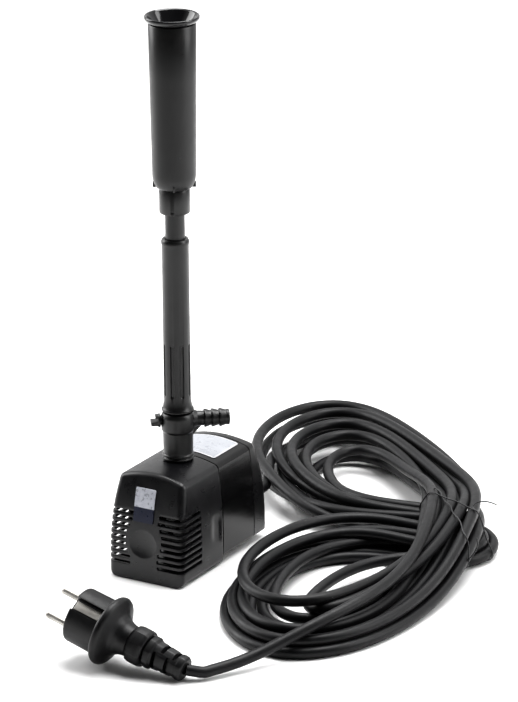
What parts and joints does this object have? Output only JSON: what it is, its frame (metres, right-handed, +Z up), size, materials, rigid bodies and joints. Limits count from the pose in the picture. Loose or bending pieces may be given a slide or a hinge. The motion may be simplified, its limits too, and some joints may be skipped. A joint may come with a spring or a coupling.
{
  "type": "fountain submersible pump",
  "caption": "Submersible pond pump with slotted strainer cover, swivelling tee with hose barb and flow valve, telescopic riser with foam-jet nozzle, and a coiled mains lead with round plug.",
  "frame": {"origin": "centre of the rectangle under the pump body that it stands on, on the floor", "axes": "+Z up along the riser; -Y is the front with the badge and intake slots; +Y is where the cord leaves"},
  "size_m": [0.2453, 0.4452, 0.3785],
  "materials": {
    "black_plastic": "semi-gloss moulded plastic of the pump body",
    "riser_plastic": "satin moulded plastic of the tee, riser and nozzle",
    "gloss_plastic": "polished",
    "cord_rubber": "matte cord sheath and plug",
    "seal_rubber": "matte",
    "inner_plastic": "moulded",
    "ferrite": "sintered",
    "ceramic": "polished ceramic",
    "laminated_iron": "laminated",
    "enamelled_copper": "enamelled wire",
    "nickel_plate": "bright",
    "badge_foil": null,
    "label_foil": "blank foil"
  },
  "bodies": {
    "pump": {"motor_housing": "black_plastic", "rear_cap": "black_plastic", "base_foot": "black_plastic", "rating_label": "label_foil", "impeller_chamber": "inner_plastic", "chamber_seal": "seal_rubber", "outlet_seal": "seal_rubber", "rotor_shaft": "ceramic", "front_bush": "seal_rubber", "rear_bush": "seal_rubber", "stator_core": "laminated_iron", "coil_bobbin": "inner_plastic", "stator_winding": "enamelled_copper", "cable_gland": "seal_rubber", "cord_exit_run": "cord_rubber", "cord_hank": "cord_rubber", "cord_plug_run": "cord_rubber", "plug_body": "cord_rubber", "plug_collar": "cord_rubber", "plug_strain_relief": "cord_rubber", "plug_pin_1": "nickel_plate", "plug_pin_2": "nickel_plate", "earth_clip_1": "nickel_plate", "earth_clip_2": "nickel_plate"},
    "cover": {"strainer_cover": "black_plastic", "badge_plate": "badge_foil"},
    "rotor": {"impeller": "inner_plastic", "rotor_magnet": "ferrite"},
    "tee": {"tee_body": "riser_plastic", "riser_lower_tube": "riser_plastic"},
    "valve": {"flow_valve": "riser_plastic"},
    "telescope": {"riser_upper_tube": "riser_plastic"},
    "nozzle": {"nozzle_socket": "riser_plastic", "nozzle_body": "riser_plastic", "nozzle_bell": "gloss_plastic", "jet_tube": "riser_plastic"}
  },
  "joints": [
    {"name": "rotor_spin", "type": "hinge", "parent": "pump", "child": "rotor", "pos_m": [0, 0, 0.03], "axis": [0, 1, 0], "continuous": true},
    {"name": "cover_slide", "type": "slide", "parent": "pump", "child": "cover", "axis": [0, -1, 0], "range_m": [0, 0.045]},
    {"name": "tee_swivel", "type": "hinge", "parent": "pump", "child": "tee", "pos_m": [0, -0.0124, 0.0743], "axis": [0, 0, 1], "continuous": true},
    {"name": "valve_turn", "type": "hinge", "parent": "tee", "child": "valve", "pos_m": [0, -0.0124, 0.1012], "axis": [0.788, 0.6157, 0], "range_deg": [0, 90]},
    {"name": "riser_telescope", "type": "slide", "parent": "tee", "child": "telescope", "axis": [0, 0, 1], "range_m": [-0.0175, 0.06]},
    {"name": "nozzle_turn", "type": "hinge", "parent": "telescope", "child": "nozzle", "pos_m": [0, -0.0124, 0.2457], "axis": [0, 0, 1], "continuous": true}
  ]
}
